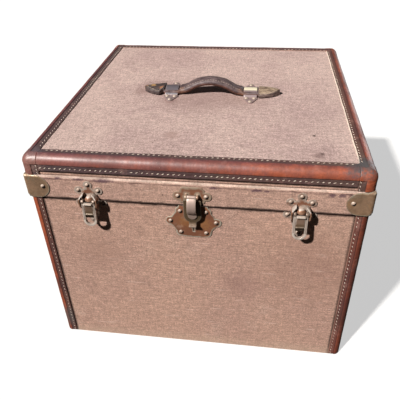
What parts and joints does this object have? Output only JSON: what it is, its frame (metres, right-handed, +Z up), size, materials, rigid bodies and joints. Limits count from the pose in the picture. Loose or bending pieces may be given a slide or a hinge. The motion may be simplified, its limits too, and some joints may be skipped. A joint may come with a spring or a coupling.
{
  "type": "travel trunk",
  "caption": "Square canvas-covered trunk with a deep hinged lid, leather-bound edges, metal corners, draw latches, a hasp lock and an arched top handle.",
  "frame": {"origin": "middle of the underside of the base", "axes": "+X to the right seen from the front, +Y to the back, +Z up; the latches face -Y"},
  "size_m": [0.4894, 0.5091, 0.3988],
  "materials": {
    "canvas": "coarse painted canvas, worn matt",
    "binding": "waxed leather, scuffed",
    "handle_leather": "rolled leather, dry and worn",
    "wood": "plain softwood boards",
    "lining": "matt lining paper",
    "corner_brass": "dull tarnished brass",
    "ring_metal": "worn plated steel",
    "plate_metal": "copper coloured lacquer worn through to steel",
    "iron": "dull steel"
  },
  "bodies": {
    "base": {"base_front_board": "wood", "base_back_board": "wood", "base_left_board": "wood", "base_right_board": "wood", "base_bottom_board": "wood", "base_canvas": "canvas", "bottom_canvas": "canvas", "base_lining": "lining", "dust_lip": "wood", "post_leather_front_left": "binding", "post_leather_front_right": "binding", "post_leather_back_left": "binding", "post_leather_back_right": "binding", "latch_plate_left": "plate_metal", "latch_plate_right": "plate_metal", "latch_pivots": "iron", "lock_plate": "plate_metal", "lock_case": "iron", "hinge_base_leaf_left": "iron", "hinge_base_leaf_right": "iron", "hinge_pins": "iron", "base_rivets": "iron"},
    "lid": {"lid_top_board": "wood", "lid_front_board": "wood", "lid_back_board": "wood", "lid_left_board": "wood", "lid_right_board": "wood", "lid_canvas": "canvas", "lid_lining": "lining", "lid_band": "wood", "band_canvas": "canvas", "edge_leather_front": "binding", "edge_leather_back": "binding", "edge_leather_left": "binding", "edge_leather_right": "binding", "cap_leather_front_left": "binding", "cap_leather_front_right": "binding", "cap_leather_back_left": "binding", "cap_leather_back_right": "binding", "brass_corner_front_left": "corner_brass", "brass_corner_front_right": "corner_brass", "brass_corner_back_left": "corner_brass", "brass_corner_back_right": "corner_brass", "latch_catch_left": "plate_metal", "latch_catch_right": "plate_metal", "hasp_plate": "plate_metal", "hasp_pin": "iron", "hinge_lid_leaf_left": "iron", "hinge_lid_leaf_right": "iron", "lid_rivets": "iron", "handle_loop_left": "iron", "handle_loop_right": "iron"},
    "lever_left": {"latch_lever_left": "ring_metal"},
    "lever_right": {"latch_lever_right": "ring_metal"},
    "link_left": {"latch_link_left": "plate_metal"},
    "link_right": {"latch_link_right": "plate_metal"},
    "hasp": {"hasp": "plate_metal"},
    "bolt": {"lock_bolt": "corner_brass"},
    "handle": {"handle_grip": "handle_leather", "handle_ends": "handle_leather"}
  },
  "joints": [
    {"name": "lid_hinge", "type": "hinge", "parent": "base", "child": "lid", "pos_m": [0, 0.2449, 0.304], "axis": [-1, 0, 0], "range_deg": [0, 100]},
    {"name": "lever_left_pivot", "type": "hinge", "parent": "base", "child": "lever_left", "pos_m": [-0.148, -0.25, 0.3065], "axis": [-1, 0, 0], "range_deg": [0, 110]},
    {"name": "link_left_pivot", "type": "hinge", "parent": "lever_left", "child": "link_left", "pos_m": [-0.148, -0.25192, 0.28458], "axis": [1, 0, 0], "range_deg": [-12, 35]},
    {"name": "lever_right_pivot", "type": "hinge", "parent": "base", "child": "lever_right", "pos_m": [0.148, -0.25, 0.3065], "axis": [-1, 0, 0], "range_deg": [0, 110]},
    {"name": "link_right_pivot", "type": "hinge", "parent": "lever_right", "child": "link_right", "pos_m": [0.148, -0.25192, 0.28458], "axis": [1, 0, 0], "range_deg": [-12, 35]},
    {"name": "hasp_hinge", "type": "hinge", "parent": "lid", "child": "hasp", "pos_m": [0, -0.2465, 0.322], "axis": [-1, 0, 0], "range_deg": [0, 105]},
    {"name": "bolt_slide", "type": "slide", "parent": "base", "child": "bolt", "axis": [-1, 0, 0], "range_m": [0, 0.008]},
    {"name": "handle_slide", "type": "slide", "parent": "lid", "child": "handle", "axis": [1, 0, 0], "range_m": [-0.0015, 0.0015]}
  ]
}
